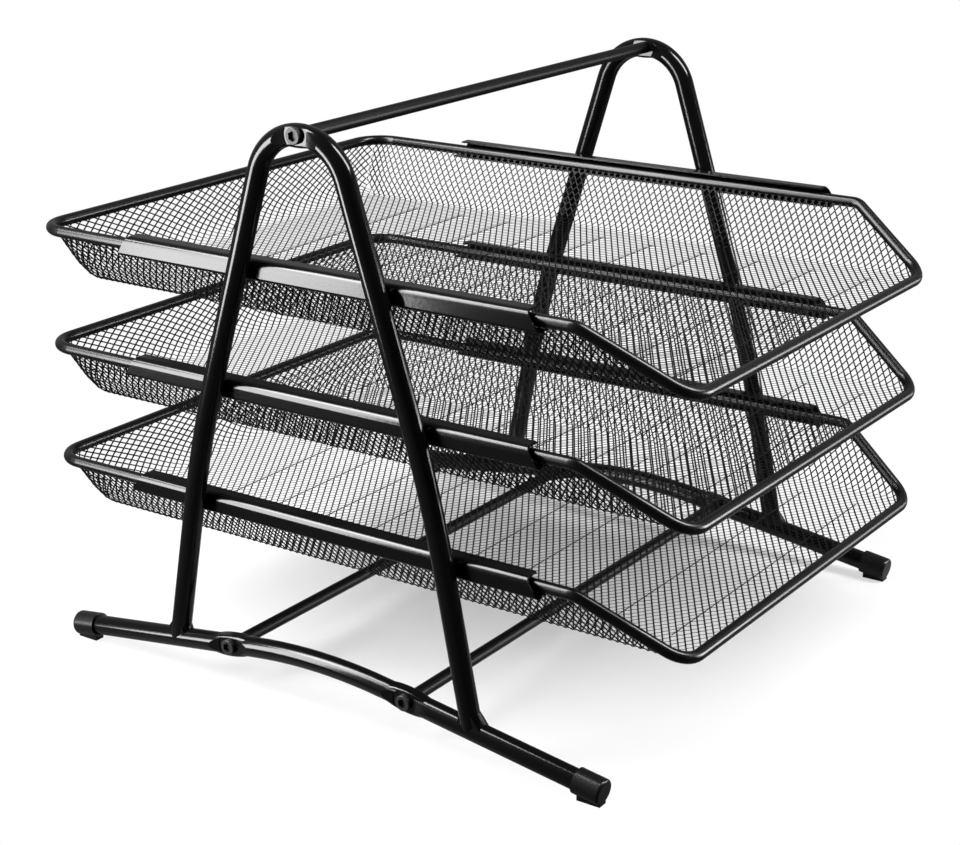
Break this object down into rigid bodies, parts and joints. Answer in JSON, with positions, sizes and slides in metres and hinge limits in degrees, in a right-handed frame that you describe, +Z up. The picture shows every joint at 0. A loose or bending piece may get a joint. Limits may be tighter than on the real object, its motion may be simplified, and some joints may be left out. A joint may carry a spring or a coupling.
{
  "type": "mesh desk organizer",
  "caption": "Black steel desk organizer: arched tube side frames joined by rods, carrying mesh paper trays that slide forward in side rails.",
  "frame": {"origin": "on the desk, at the middle of the part's footprint", "axes": "+Z up, -Y towards the trays' open fronts, +X towards the right-hand side frame seen from the front"},
  "size_m": [0.2938, 0.3502, 0.2702],
  "materials": {
    "frame_paint": "semi-gloss black paint on tube and rod",
    "rail_paint": "semi-gloss black paint on sheet steel",
    "rim_paint": "glossy black paint on wire",
    "mesh_paint": "satin black paint on expanded metal",
    "cap_plastic": "matte black moulded plastic",
    "screw_black": "blackened steel"
  },
  "bodies": {
    "frame": {"left_side_arch": "frame_paint", "left_base_tube": "frame_paint", "right_side_arch": "frame_paint", "right_base_tube": "frame_paint", "top_rod": "frame_paint", "rear_lower_rod": "frame_paint", "front_lower_rod": "frame_paint", "left_top_screw": "screw_black", "left_rear_lower_screw": "screw_black", "left_front_lower_screw": "screw_black", "left_front_foot_cap": "cap_plastic", "left_rear_foot_cap": "cap_plastic", "left_bottom_rail": "rail_paint", "left_middle_rail": "rail_paint", "left_top_rail": "rail_paint", "right_top_screw": "screw_black", "right_rear_lower_screw": "screw_black", "right_front_lower_screw": "screw_black", "right_front_foot_cap": "cap_plastic", "right_rear_foot_cap": "cap_plastic", "right_bottom_rail": "rail_paint", "right_middle_rail": "rail_paint", "right_top_rail": "rail_paint"},
    "bottom_tray": {"bottom_tray_rim": "rim_paint", "bottom_tray_basket": "mesh_paint"},
    "middle_tray": {"middle_tray_rim": "rim_paint", "middle_tray_basket": "mesh_paint"},
    "top_tray": {"top_tray_rim": "rim_paint", "top_tray_basket": "mesh_paint"}
  },
  "joints": [
    {"name": "bottom_tray_slide", "type": "slide", "parent": "frame", "child": "bottom_tray", "axis": [0, -1, 0], "range_m": [-0.01, 0.24]},
    {"name": "middle_tray_slide", "type": "slide", "parent": "frame", "child": "middle_tray", "axis": [0, -1, 0], "range_m": [-0.01, 0.24]},
    {"name": "top_tray_slide", "type": "slide", "parent": "frame", "child": "top_tray", "axis": [0, -1, 0], "range_m": [-0.01, 0.24]}
  ]
}
